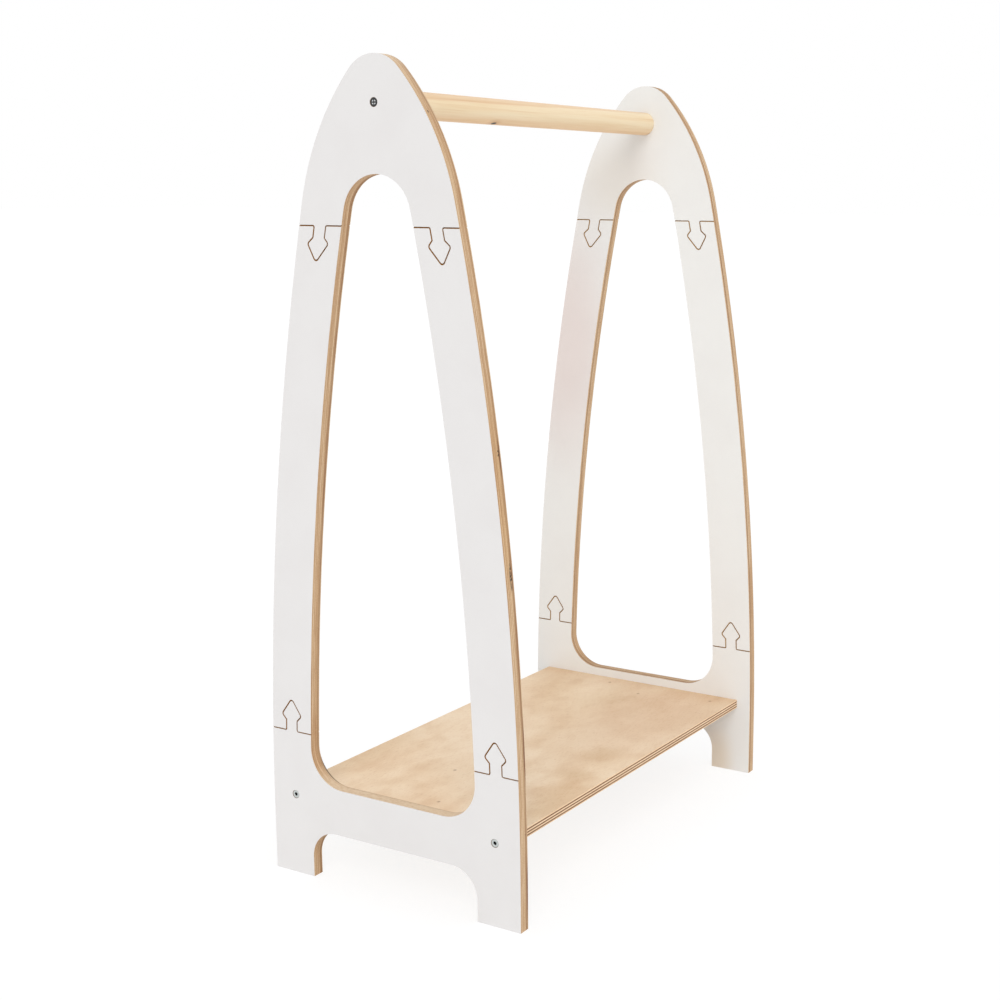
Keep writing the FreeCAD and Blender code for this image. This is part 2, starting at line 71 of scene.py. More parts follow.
camera = bpy.data.objects.new("camera", bpy.data.cameras.new("camera"))
bpy.context.collection.objects.link(camera)
camera.data.sensor_width = 36.0
camera.data.lens = FOCAL_PIXELS / PICTURE * camera.data.sensor_width
camera.data.shift_x = 0.5 - AXIS_PIXEL.x / PICTURE
camera.data.shift_y = AXIS_PIXEL.y / PICTURE - 0.5
upright = math.radians(90)
turned = Matrix.Rotation(HEADING - upright, 4, "Z")
tilted = Matrix.Rotation(upright - TILT_DOWN, 4, "X")
rolled = Matrix.Rotation(ROLL, 4, "Z")
camera.matrix_world = Matrix.Translation(CAMERA_PLACE) @ turned @ tilted @ rolled
bpy.context.scene.camera = camera
bpy.context.scene.view_settings.view_transform = "Standard"
print("lens in mm:", round(camera.data.lens, 2))
print("shift:", round(camera.data.shift_x, 4), round(camera.data.shift_y, 4))

# %% [markdown]
# ## One function for every node
# A procedural material is a small graph. One helper adds a node, sets its properties and fills its sockets,
# either with a constant or with a link, so that a material reads from top to bottom as a recipe. Colours
# are written as the sRGB hex values that an eye or a colour picker would name, and one function turns them
# into the linear values that light follows.

# %% Node and colour helpers
def linear(hex_colour):
    """An sRGB hex colour as linear red, green, blue and alpha: the standard curve with its straight toe."""
    srgb = np.array([int(hex_colour[place:place + 2], 16) for place in (0, 2, 4)]) / 255
    toe = srgb / 12.92
    curve = ((srgb + 0.055) / 1.055) ** 2.4
    return (*np.where(srgb <= 0.04045, toe, curve).tolist(), 1.0)


def add_node(tree, kind, inputs=None, **settings):
    """Add a node of a kind, set its properties, and fill its sockets with values or with links."""
    made = tree.nodes.new("ShaderNode" + kind)
    for name, value in settings.items():
        setattr(made, name, value)
    for socket, value in (inputs or {}).items():
        if isinstance(value, bpy.types.NodeSocket):
            tree.links.new(value, made.inputs[socket])
        else:
            made.inputs[socket].default_value = value
    return made.outputs


def empty_tree(owner):
    """Clear an owner's node tree and return the helper bound to it."""
    owner.use_nodes = True
    owner.node_tree.nodes.clear()
    return partial(add_node, owner.node_tree)


print("film white, linear:", [round(value, 3) for value in linear("E2E0DF")])

# %% [markdown]
# ## Floor and light
# The photograph is a cut-out on white under very even light: the boards are about as bright at the top as
# at the bottom, and the rail leaves only a soft shade on the far crown. A white room gives that light, so
# the world is one pale dome, and three wide suns stand for the softboxes: one high on the left, one low in
# front and one low behind, which keeps the far sides white. They are suns and not area lamps, because their
# light doesn't fall off over the floor. The camera sees the dome and most of the floor as plain white, and
# the floor keeps a faint shadow where the feet stand.

# %% World and floor
DOME_STRENGTH = 0.712
FLOOR_HALF = 60.0
FLOOR_GREY = linear("FAFAFA")
FLOOR_SEEN = (1.15, 1.15, 1.15, 1.0)  # above white, so that only the shadow is darker than the dome
SHADOW_SHARE = 0.18
WHITE = (1.0, 1.0, 1.0, 1.0)

world = bpy.data.worlds.new("white room")
bpy.context.scene.world = world
add = empty_tree(world)
path = add("LightPath")
mirrored = add("Math", {0: path["Is Glossy Ray"], 1: path["Is Transmission Ray"]}, operation="MAXIMUM")[0]
looked_at = add("Math", {0: path["Is Camera Ray"], 1: mirrored}, operation="MAXIMUM")[0]
dome = add("Background", {"Color": WHITE, "Strength": DOME_STRENGTH})[0]
white = add("Background", {"Color": WHITE, "Strength": 1.0})[0]
sky = add("MixShader", {0: looked_at, 1: dome, 2: white})[0]
add("OutputWorld", {"Surface": sky})

corners = np.array([(-1, -1, 0), (1, -1, 0), (1, 1, 0), (-1, 1, 0)]) * FLOOR_HALF
floor_mesh = bpy.data.meshes.new("floor")
floor_mesh.from_pydata(corners.tolist(), [], [(0, 1, 2, 3)])
floor = bpy.data.objects.new("floor", floor_mesh)
bpy.context.collection.objects.link(floor)
paper = bpy.data.materials.new("white backdrop paper, matt")
add = empty_tree(paper)
path = add("LightPath")
matt = add("BsdfDiffuse", {"Color": FLOOR_GREY})[0]
bright = add("BsdfDiffuse", {"Color": FLOOR_SEEN})[0]
glow = add("Emission", {"Color": WHITE, "Strength": 1.0})[0]
seen = add("MixShader", {0: SHADOW_SHARE, 1: glow, 2: bright})[0]
surface = add("MixShader", {0: path["Is Camera Ray"], 1: matt, 2: seen})[0]
add("OutputMaterial", {"Surface": surface})
floor_mesh.materials.append(paper)
print("floor:", 2 * FLOOR_HALF, "m wide, under a dome of strength", DOME_STRENGTH)

# %% Suns
# Where each sun stands, its strength and its width in degrees.
SUNS = {
    "key softbox": (Vector((-0.67, -0.39, 0.63)), 1.05, 38),
    "front softbox": (Vector((-0.30, -0.95, 0.10)), 0.45, 90),
    "rear fill": (Vector((0.85, 0.50, 0.12)), 0.50, 90),
}
for name, (towards, strength, width) in SUNS.items():
    sun = bpy.data.lights.new(name, "SUN")
    sun.energy = strength
    sun.angle = math.radians(width)
    lamp = bpy.data.objects.new(name, sun)
    lamp.rotation_euler = towards.to_track_quat("Z", "Y").to_euler()
    bpy.context.collection.objects.link(lamp)
    print(name, "from", [round(value, 2) for value in towards.normalized()], "strength", strength)

# %% [markdown]
# ## What the materials share
# Every pattern is drawn in millimetres on Object coordinates, so its scale can be read off the real wood.
# Three small recipes come back in several finishes: a spot, which is a soft ellipsoid at a measured place,
# used for knots and gaps; a figure, which is noise drawn out along the grain; and a stain, which darkens a
# colour where such a pattern is strong.

# %% Shared recipes
PER_METRE = 1000.0
FIGURE_ROUGHNESS = 0.55
# Sockets of the Mix node, which has a set of its own for numbers and one for colours.
NUMBER_A, NUMBER_B, COLOUR_A, COLOUR_B = 2, 3, 6, 7
COLOUR_OUT = 2
COLOURS = {"data_type": "RGBA"}
TINTED = {"data_type": "RGBA", "blend_type": "MULTIPLY"}


def start_material(name):
    """A new material with its tree cleared: returns it, the node helper and the place in millimetres."""
    material = bpy.data.materials.new(name)
    add = empty_tree(material)
    place = add("TexCoord")["Object"]
    place = add("VectorMath", {0: place, "Scale": PER_METRE}, operation="SCALE")[0]
    return material, add, place


def spot(add, place, centre, size, soft=0.5):
    """One inside an ellipsoid and nought outside: the distance from its centre, each axis over its size."""
    offset = add("VectorMath", {0: place, 1: centre}, operation="SUBTRACT")[0]
    scaled = add("VectorMath", {0: offset, 1: size}, operation="DIVIDE")[0]
    distance = add("VectorMath", {0: scaled}, operation="LENGTH")["Value"]
    fall = {"Value": distance, "From Min": 1 + soft, "From Max": 1 - soft}
    return add("MapRange", fall, interpolation_type="SMOOTHSTEP")[0]


def figure(add, place, size, detail=3.0):
    """Noise with its own size in millimetres along each axis, so that it draws out along the grain."""
    scaled = add("VectorMath", {0: place, 1: size}, operation="DIVIDE")[0]
    noise = {"Vector": scaled, "Scale": 1.0, "Detail": detail, "Roughness": FIGURE_ROUGHNESS}
    return add("TexNoise", noise)[0]


def stain(add, colour, pattern, low, high, most, tint):
    """Multiply a colour by a tint: not at all where a pattern is low, by the most share where it is high."""
    share = add("MapRange", {"Value": pattern, "From Min": low, "From Max": high, "To Max": most})[0]
    return add("Mix", {0: share, COLOUR_A: colour, COLOUR_B: linear(tint)}, **TINTED)[COLOUR_OUT]


def finish_material(add, colour, roughness, height, height_mm, **sockets):
    """Close the recipe with one shader: its colour, its roughness and a bump of a real height."""
    bump = add("Bump", {"Height": height, "Distance": height_mm * MM, "Strength": 1.0})[0]
    inputs = {"Base Color": colour, "Roughness": roughness, "Normal": bump, **sockets}
    surface = add("BsdfPrincipled", inputs)[0]
    add("OutputMaterial", {"Surface": surface})


print("patterns are drawn at", PER_METRE, "units to a metre")

# %% [markdown]
# ## The sills of the boards
# The end frames are cut from 15 mm birch plywood, and the board's thickness and place are read off the CAD
# model. Where an edge of the left frame faces up, as at the foot of its window, a paler, mottled colour is
# painted over it, so that the plies hardly show: painted light, for the brighter light on that sill. That
# could be a piece of its own, but it is the same board, so it is a small recipe that covers the plies, and
# the more so the more the surface faces up.

# %% Sanded sill
low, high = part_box("left_base")
BOARD_THICK = (high.x - low.x) / MM
BOARD_OUTER = -low.x / MM
SILL_MOTTLE_SIZE = (2.5, 5.0, 5.0)
ARRIS_LINE = (1.6, 0.8)  # how far from the inner face its dark line starts and is full


def painted_light_sill(add, place, wood, depth, sanded):
    """Painted light: where the edge faces up it is painted paler and mottled, with a dark line at its inner
    arris.
    """
    mottle = figure(add, place, SILL_MOTTLE_SIZE, detail=2.0)
    # smooth is the paler, mottled colour painted over the sill: painted light
    smooth = stain(add, linear("DEC7A9"), mottle, 0.4, 0.7, 0.6, "E2D0BC")
    start, full = (BOARD_THICK - inward for inward in ARRIS_LINE)
    smooth = stain(add, smooth, depth, start, full, 0.5, "B89878")
    return add("Mix", {0: sanded, COLOUR_A: wood, COLOUR_B: smooth}, **COLOURS)[COLOUR_OUT]


print("board:", round(BOARD_THICK, 2), "mm thick, its outer face at", round(BOARD_OUTER, 2), "mm")

# %% [markdown]
# ## The sawn edge of the boards
# The plywood has eleven plies. It is routed to shape and only sanded at the edge, so the edge is bare: pale
# plies with the grain along the edge, darker ones cut across it, thin glue lines, and here and there a gap
# in a core ply. A picture of plywood would have to be bent round every curve. The depth below the board's
# face says by itself which ply a point is in, so the plies follow each curve unasked.

# %% Plies of the boards
BOARD_PLIES = 11
GLUE_SHARE = 0.1  # of a ply's thickness, on each side of a glue line
SIDE_SEED = 50.0  # gives each frame's plies tones of their own
DARK_PLY = 11.6
DARK_PLY_SHIFT = -1.0  # it lies deeper in the left frame, where x is negative
DARK_PLY_FADE = (2.2, 0.9)  # how far from its middle its shade starts and is full
SHEET_START = (49.0, 427.0, 959.0)
FIBRE_SIZE = (0.9, 45.0, 45.0)
STRIPE_SIZE = (3.4, 170.0, 170.0)
PORE_SIZE = (0.8, 1.6, 1.6)  # real pores are under 0.2 mm, too fine to show, so they are drawn coarser
CRUMB_SIZE = (2.0, 3.5, 3.5)
# Stretches of the edge: the centre and the half size of each in millimetres, and a tint where it has one.
PALE_STRETCH = ((-287.0, -105.0, 730.0), (9.0, 60.0, 190.0))
CORE_GAPS = (
    ((-289.5, -150.0, 404.0), (1.9, 40.0, 14.5)),
    ((-289.6, -140.0, 537.5), (1.8, 40.0, 3.2)),
    ((-294.5, -67.0, 890.5), (0.8, 3.0, 1.4)),
    ((-289.0, -177.7, 113.0), (0.7, 3.0, 1.2)),
)
TINTED_STRETCHES = (
    ((-285.6, -174.8, 208.0), (1.3, 6.0, 34.0), "94694A"),
    ((-285.6, -178.0, 47.0), (1.1, 6.0, 30.0), "94694A"),
    ((-287.4, -140.0, 532.0), (0.9, 40.0, 20.0), "94694A"),
    ((-292.5, -135.0, 480.0), (13.0, 60.0, 110.0), "FBF3E4"),
    ((-285.2, 104.0, 132.0), (1.2, 18.0, 18.0), "2C1E14"),
)


def sawn_edge(add, place, facing, depth, sanded):
    """Plies by depth: each is pale along its grain and darker across it, with a tone of its own."""
    parts = add("SeparateXYZ", {0: place})
    layer = add("Math", {0: depth, 1: BOARD_PLIES / BOARD_THICK}, operation="MULTIPLY")[0]
    ply = add("Math", {0: layer}, operation="FLOOR")[0]
    odd = add("Math", {0: ply, 1: 2.0}, operation="MODULO")[0]
    side = add("Math", {0: parts["X"]}, operation="SIGN")[0]
    seed = add("Math", {0: side, 1: SIDE_SEED, 2: ply}, operation="MULTIPLY_ADD")[0]
    dark_ply = add("Math", {0: side, 1: DARK_PLY_SHIFT, 2: DARK_PLY}, operation="MULTIPLY_ADD")[0]
    off_dark = add("Math", {0: depth, 1: dark_ply}, operation="SUBTRACT")[0]
    off_dark = add("Math", {0: off_dark}, operation="ABSOLUTE")[0]
    pale = spot(add, place, *PALE_STRETCH)
    off_dark = add("Math", {0: pale, 1: off_dark}, operation="ADD")[0]
    tone = add("TexWhiteNoise", {"W": seed}, noise_dimensions="1D")[0]
    end_grain = {0: odd, NUMBER_A: facing["Z"], NUMBER_B: facing["Y"]}
    end_grain = add("Mix", end_grain, data_type="FLOAT")[0]
    within = add("Math", {0: layer, 1: 0.5}, operation="PINGPONG")[0]
    glue = add("Math", {0: within, 1: GLUE_SHARE}, operation="LESS_THAN")[0]
    fibre = figure(add, place, FIBRE_SIZE)
    sheet = add("VectorMath", {0: place, 1: SHEET_START}, operation="ADD")[0]
    stripe = figure(add, sheet, STRIPE_SIZE, detail=2.0)
    pores = figure(add, place, PORE_SIZE, detail=2.0)

    plies = {0: end_grain, COLOUR_A: linear("EAD4B3"), COLOUR_B: linear("DABE98")}
    wood = add("Mix", plies, **COLOURS)[COLOUR_OUT]
    wood = stain(add, wood, tone, 0.0, 1.0, 0.4, "D8B890")
    wood = stain(add, wood, fibre, 0.45, 0.7, 0.7, "C9A787")
    wood = stain(add, wood, stripe, 0.45, 0.62, 0.48, "CDAD8B")
    wood = stain(add, wood, pores, 0.5, 0.75, 0.5, "D0B498")
    wood = stain(add, wood, glue, 0.0, 1.0, 0.5, "A88360")
    wood = stain(add, wood, off_dark, *DARK_PLY_FADE, 0.7, "C8BAB0")
    wood = painted_light_sill(add, place, wood, depth, sanded)
    for centre, size, tint in TINTED_STRETCHES:
        wood = stain(add, wood, spot(add, place, centre, size), 0.0, 1.0, 0.85, tint)
    crumbs = figure(add, place, CRUMB_SIZE, detail=0.0)
    crumbs = add("MapRange", {"Value": crumbs, "From Min": 0.35, "From Max": 0.5})[0]
    for centre, size in CORE_GAPS:
        gap = add("Math", {0: spot(add, place, centre, size), 1: crumbs}, operation="MULTIPLY")[0]
        hollow = {0: gap, COLOUR_A: wood, COLOUR_B: linear("2A1400")}
        wood = add("Mix", hollow, **COLOURS)[COLOUR_OUT]
    return wood, fibre, pores


print("plies:", BOARD_PLIES, "of", round(BOARD_THICK / BOARD_PLIES, 2), "mm")

# %% [markdown]
# ## White film
# A thin white film is pressed on both faces of the boards before they are cut. One flat white would come
# close, but a real sheet is never that even. So the film has faint clouds, painted light that makes the
# right frame a shade lighter, and painted shade in a few soft spots on that frame's inner face, each a spot
# like those of the wood.

# %% White film
CLOUD_SIZE = (60.0, 60.0, 60.0)
# Painted shade on the right frame's inner face, in warm soft spots:
# the centre and the half size of each in millimetres, and its colour.
PAINTED_SHADE_SPOTS = (
    ((283.0, 130.0, 600.0), (9.0, 70.0, 150.0), "F7ECEA"),
    ((283.0, -126.0, 12.0), (9.0, 22.0, 40.0), "F6EBDD"),
    ((283.0, 42.0, 825.0), (9.0, 60.0, 50.0), "FBF6F1"),
)


def white_film(add, place):
    """Film: almost one white, faint clouds, painted lighter on the right frame, with painted shade spots."""
    parts = add("SeparateXYZ", {0: place})
    # painted light: the right frame's white is a shade lighter, for the brighter light on its inner face
    right = add("Math", {0: parts["X"], 1: 0.0}, operation="GREATER_THAN")[0]
    painted_light_whites = {0: right, COLOUR_A: linear("E2E0DF"), COLOUR_B: linear("E9E8E5")}
    film = add("Mix", painted_light_whites, **COLOURS)[COLOUR_OUT]
    cloud = figure(add, place, CLOUD_SIZE, detail=2.0)
    film = stain(add, film, cloud, 0.4, 0.7, 0.5, "FBFAFA")
    # painted shade: each spot darkens and warms the film where shade falls
    for centre, size, tint in PAINTED_SHADE_SPOTS:
        film = stain(add, film, spot(add, place, centre, size, soft=0.7), 0.0, 1.0, 1.0, tint)
    return film


print("film:", len(PAINTED_SHADE_SPOTS), "faint tints")

# %% [markdown]
# ## Film, sawn edge and joint in one material
# One material serves the whole board and asks which way the surface faces: straight along x is film,
# straight across is the sawn edge, and halfway between is the narrow bevel of a joint, which the cutter has
# toasted brown. Splitting the mesh into three slots would do the same, but a CAD mesh is left as it is.

# %% White-faced plywood
low, high = (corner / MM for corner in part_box("shelf_screws"))
HEAD_RADIUS = (high.z - low.z) / 2
SHELF_SCREW = (high.y - HEAD_RADIUS, low.z + HEAD_RADIUS)
low, high = (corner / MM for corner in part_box("rail_screws"))
RAIL_SCREW = (0.0, (low.z + high.z) / 2)
FILM_THICK = 0.4
FILM_FACING = 0.97
EDGE_FACING = 0.5
LEVEL_START = 0.5
LEVEL_FULL = 0.95
SILL_SHARE = 0.82
PEEL_SIZE = (1.6, 1.6, 1.6)
PEEL_SHARE = 0.08


def white_faced_plywood():
    """Matt white film over birch plies: the film hardly shines, the sawn edge is dry and warm."""
    material, add, place = start_material("white film-faced birch plywood, routed and sanded")
    normal = add("NewGeometry")["True Normal"]
    facing = add("VectorMath", {0: normal}, operation="ABSOLUTE")[0]
    facing = add("SeparateXYZ", {0: facing})
    upward = add("SeparateXYZ", {0: normal})["Z"]
    parts = add("SeparateXYZ", {0: place})
    across = add("Math", {0: parts["X"]}, operation="ABSOLUTE")[0]
    depth = add("Math", {0: BOARD_OUTER, 1: across}, operation="SUBTRACT")[0]
    left = add("Math", {0: parts["X"], 1: 0.0}, operation="LESS_THAN")[0]
    # sanded is the share of painted light: a paler colour over the left frame's up-facing edges
    sanded = {"Value": upward, "From Min": LEVEL_START, "From Max": LEVEL_FULL, "To Max": SILL_SHARE}
    sanded = add("MapRange", sanded)[0]
    sanded = add("Math", {0: sanded, 1: left}, operation="MULTIPLY")[0]
    wood, fibre, pores = sawn_edge(add, place, facing, depth, sanded)
    # painted shade: the right frame's up-facing edges are darkened, for the shade they lie in
    painted_shade_sill = add("Math", {0: upward, 1: left}, operation="SUBTRACT")[0]
    wood = stain(add, wood, painted_shade_sill, LEVEL_START, LEVEL_FULL, 0.8, "DED6CC")
    film = white_film(add, place)

    film_line = add("Math", {0: depth, 1: FILM_THICK}, operation="LESS_THAN")[0]
    edge = add("Mix", {0: film_line, COLOUR_A: wood, COLOUR_B: film}, **COLOURS)[COLOUR_OUT]
    toast = {0: fibre, COLOUR_A: linear("764A02"), COLOUR_B: linear("905E06")}
    toasted = add("Mix", toast, **COLOURS)[COLOUR_OUT]
    toast = {0: left, COLOUR_A: linear("A07A44"), COLOUR_B: toasted}
    toasted = add("Mix", toast, **COLOURS)[COLOUR_OUT]
    folded = add("VectorMath", {0: place}, operation="ABSOLUTE")[0]
    # painted shade: the countersink round each screw head is dark grey, for the shade in the gap round the
    # head
    for screw in (SHELF_SCREW, RAIL_SCREW):
        countersink_shade = spot(add, folded, (BOARD_OUTER, *screw), (HEAD_RADIUS,) * 3)
        countersink_shade = {0: countersink_shade, COLOUR_A: toasted, COLOUR_B: linear("54504C")}
        toasted = add("Mix", countersink_shade, **COLOURS)[COLOUR_OUT]
    is_edge = add("Math", {0: facing["X"], 1: EDGE_FACING}, operation="LESS_THAN")[0]
    is_film = add("Math", {0: facing["X"], 1: FILM_FACING}, operation="GREATER_THAN")[0]
    colour = add("Mix", {0: is_edge, COLOUR_A: toasted, COLOUR_B: edge}, **COLOURS)[COLOUR_OUT]
    colour = add("Mix", {0: is_film, COLOUR_A: colour, COLOUR_B: film}, **COLOURS)[COLOUR_OUT]

    peel = figure(add, place, PEEL_SIZE, detail=1.0)
    dry = add("MapRange", {"Value": fibre, "To Min": 0.6, "To Max": 0.8})[0]
    satin = add("MapRange", {"Value": peel, "To Min": 0.42, "To Max": 0.5})[0]
    roughness = add("Mix", {0: is_film, NUMBER_A: dry, NUMBER_B: satin}, data_type="FLOAT")[0]
    grain = add("Math", {0: fibre, 1: pores}, operation="ADD")[0]
    fine = add("Math", {0: peel, 1: PEEL_SHARE}, operation="MULTIPLY")[0]
    height = add("Mix", {0: is_film, NUMBER_A: grain, NUMBER_B: fine}, data_type="FLOAT")[0]
    finish_material(add, colour, roughness, height, height_mm=0.06, IOR=1.5)
    return material


boards = [name for name in nodes if name.endswith(("_base", "_leg", "_crown"))]
plywood = white_faced_plywood()
for name in boards:
    nodes[name].material_slots[0].material = plywood
print(plywood.name, "on", len(boards), "boards")

# %% [markdown]
# ## Surfaces from arrays
# The shelf, the rail and the screws are made anew, with the eased edges that a hand feels on them. Each is
# a profile carried along a path: numpy works out all its points at once as rows of rings, and one function
# joins neighbouring points in quads and fills the first and the last ring. Modelling them by hand would
# give the same shapes, but no formula to read. The Weighted Normal modifier keeps wide flats flat beside
# narrow roundings.

# %% Closed tubes
SMOOTH_BELOW = math.radians(35)
EASE_STEPS = 5


def closed_tubes(name, points, replaced):
    """Closed tubes from points[tube, row, column]: columns close into rings, neighbouring rings are joined
    by quads, and one face fills the first and the last ring of each tube."""
    numbers = np.arange(points[..., 0].size).reshape(points.shape[:3])
    here, there = numbers[:, :-1], numbers[:, 1:]
    quads = np.stack([here, np.roll(here, -1, 2), np.roll(there, -1, 2), there], -1).reshape(-1, 4)
    ends = np.concatenate([numbers[:, 0, ::-1], numbers[:, -1]])
    mesh = bpy.data.meshes.new(name)
    mesh.from_pydata((points.reshape(-1, 3) * MM).tolist(), [], quads.tolist() + ends.tolist())
    mesh.shade_smooth()
    mesh.set_sharp_from_angle(angle=SMOOTH_BELOW)
    piece = bpy.data.objects.new(name, mesh)
    bpy.context.collection.objects.link(piece)
    weighted = piece.modifiers.new("flats stay flat", "WEIGHTED_NORMAL")
    weighted.keep_sharp = True
    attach(piece, "root")
    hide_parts(replaced)
    print(name, "has", len(mesh.vertices), "points in", len(points), "tubes")
    return piece


def quarter_round(radius):
    """A rounding from its inner end to its outer end: how far in from the end, and how far drawn in."""
    turn = np.linspace(0, math.radians(90), EASE_STEPS)
    return radius * (1 - np.sin(turn)), radius * (1 - np.cos(turn))


print("roundings have", len(quarter_round(1.0)[0]), "rings")

# %% [markdown]
# ## The shelf
# The shelf is 12 mm birch plywood of nine plies, cut square, its arrises taken off with sandpaper. Its
# profile is a rectangle with rounded corners, carried along x between the two bases and drawn in a little
# at each end. A cube with a Bevel modifier would come close, but here both radii are written out.

# %% Shelf board
low, high = (np.array(corner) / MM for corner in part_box("shelf"))
SHELF_MIDDLE = (low + high) / 2
SHELF_HALF = (high - low) / 2
SHELF_EASE = 0.7
END_EASE = 0.63  # less than the corners' ease, so that their radius stays above nought at the ends


def shelf_profile(inset):
    """Rounded rectangle in y and z: four quarter turns of the ease's radius about the corners' centres."""
    quarter = np.linspace(0, math.radians(90), EASE_STEPS)
    starts = np.radians([0, 90, 180, 270])[:, None]
    turn = starts + quarter
    signs = np.array([(1, 1), (-1, 1), (-1, -1), (1, -1)])[:, None]
    radius = SHELF_EASE - inset
    corner = SHELF_HALF[1:] - SHELF_EASE
    points = signs * corner + radius * np.stack([np.cos(turn), np.sin(turn)], -1)
    return points.reshape(-1, 2)


def shelf_rings():
    """The profile at each station along x: drawn in round both ends, straight between them."""
    reach, inset = quarter_round(END_EASE)
    rings = np.array([shelf_profile(amount) for amount in inset[::-1]])
    along = SHELF_HALF[0] - reach[::-1]
    left = np.concatenate([np.broadcast_to(-along[:, None, None], rings.shape[:2] + (1,)), rings], -1)
    right = np.concatenate([-left[::-1, :, :1], left[::-1, :, 1:]], -1)
    return (np.concatenate([left, right]) + SHELF_MIDDLE)[None]


shelf_board = closed_tubes("shelf_board", shelf_rings(), "shelf")

# %% [markdown]
# ## Rotary-cut veneer
# The faces of the shelf are rotary-cut birch veneer, peeled off the log like paper off a roll, which gives
# soft clouds and faint flames instead of straight lines, with a few pin knots. A wave texture would give
# the even bands of a sawn plank, so the veneer is noise drawn out along x.

# %% Veneer of the shelf
SHELF_TOP = SHELF_MIDDLE[2] + SHELF_HALF[2]
VENEER_START = (37.0, 23.0, 311.0)
FAR_END = 215.0
FAR_MOTTLE = 0.85
CLOUD_GRAIN = (85.0, 62.0, 40.0)
HUE_GRAIN = (130.0, 90.0, 40.0)
MOTTLE_GRAIN = (38.0, 24.0, 20.0)
VESSEL_GRAIN = (8.0, 1.0, 1.0)  # real vessel lines are 0.2 mm wide, too fine to show, so these are wider
SWELL_GRAIN = (170.0, 60.0, 30.0)
FLAMES = 7.0
FIBRE_GRAIN = (9.0, 1.4, 1.4)
# Patches of the veneer, one of them painted shade: the centre and the half size of each in millimetres.
FRONT_PATCH = ((165.0, -95.0, SHELF_TOP), (155.0, 75.0, 40.0))
BLOTCHES_AND_SHADE = (
    ((-85.0, -117.0, SHELF_TOP), (16.0, 18.0, 9.0)),
    ((-5.0, -110.0, SHELF_TOP), (26.0, 20.0, 9.0)),
    # painted shade: a darker band along the back edge at the left
    ((-160.0, 150.0, SHELF_TOP), (90.0, 24.0, 9.0)),
    ((-185.0, -140.0, SHELF_TOP), (60.0, 26.0, 9.0)),
    ((205.0, 5.0, SHELF_TOP), (45.0, 30.0, 9.0)),
)
PIN_KNOTS = ((-244, -26), (-149, 19), (237, -24), (259, -128), (263, 38))
PIN_KNOT_SIZE = (2.2, 1.8, 2.0)


def birch_veneer(add, place):
    """Rotary-cut veneer: pale and softly clouded, pinker in a wide patch at the front and at the far end."""
    parts = add("SeparateXYZ", {0: place})
    log = add("VectorMath", {0: place, 1: VENEER_START}, operation="ADD")[0]
    cloud = figure(add, log, CLOUD_GRAIN, detail=1.5)
    hue = figure(add, log, HUE_GRAIN, detail=1.0)
    mottle = figure(add, place, MOTTLE_GRAIN, detail=1.5)
    vessel = figure(add, place, VESSEL_GRAIN, detail=1.0)
    swell = figure(add, place, SWELL_GRAIN, detail=1.0)
    flame = add("Math", {0: swell, 1: FLAMES}, operation="MULTIPLY")[0]
    flame = add("Math", {0: flame}, operation="FRACT")[0]
    fibre = figure(add, place, FIBRE_GRAIN, detail=2.0)
    far_end = {"Value": parts["X"], "From Min": FAR_END, "From Max": SHELF_HALF[0], "To Max": 0.7}
    far_end = add("MapRange", far_end)[0]
    # pinker and darker in a wide patch at the front and towards the far end
    front = spot(add, place, *FRONT_PATCH, soft=0.8)
    pinker_share = add("Math", {0: far_end, 1: front}, operation="MAXIMUM")[0]
    pinker_share = {0: pinker_share, COLOUR_A: linear("EED7B9"), COLOUR_B: linear("DDBF9E")}
    veneer = add("Mix", pinker_share, **COLOURS)[COLOUR_OUT]
    lively = {"Value": parts["X"], "From Min": -SHELF_HALF[0] / 2, "From Max": 0.0}
    lively = add("MapRange", {**lively, "To Min": 1.0, "To Max": FAR_MOTTLE})[0]
    mottle = add("Math", {0: mottle, 1: lively}, operation="MULTIPLY")[0]
    veneer = stain(add, veneer, cloud, 0.42, 0.7, 0.52, "EEE0D0")
    veneer = stain(add, veneer, mottle, 0.45, 0.7, 0.5, "EEE2D4")
    veneer = stain(add, veneer, vessel, 0.6, 0.72, 0.4, "D2B696")
    veneer = stain(add, veneer, hue, 0.4, 0.65, 0.6, "F6F0E8")
    veneer = stain(add, veneer, flame, 0.4, 1.0, 0.15, "F0E0D0")
    veneer = stain(add, veneer, fibre, 0.5, 0.75, 0.22, "EBDCCA")
    # blotches of the veneer, and one band of painted shade along the back edge
    for centre, size in BLOTCHES_AND_SHADE:
        veneer = stain(add, veneer, spot(add, place, centre, size, soft=0.9), 0.0, 1.0, 0.5, "E6DAC6")
    for across, back in PIN_KNOTS:
        knot = spot(add, place, (across, back, SHELF_TOP), PIN_KNOT_SIZE, soft=0.7)
        veneer = stain(add, veneer, knot, 0.0, 1.0, 0.6, "9A7450")
    return veneer, fibre


print("veneer:", len(BLOTCHES_AND_SHADE), "blotches and", len(PIN_KNOTS), "pin knots")

# %% [markdown]
# ## Bare birch plywood
# The long edges of the shelf show its plies as thin stripes, every other one dark where the grain is cut
# across. Thin boards laid on each other would give the same stripes, but the shelf is one board. So the
# height says which ply a point is in, and the way the surface faces says whether veneer or edge shows.

# %% Edge of the shelf
SHELF_PLIES = 9
DRAWN_PLIES = 7  # nine are about a pixel thick and blur, so the edge is drawn with seven
EDGE_GRAIN = (60.0, 60.0, 0.8)
FACE_FACING = 0.7


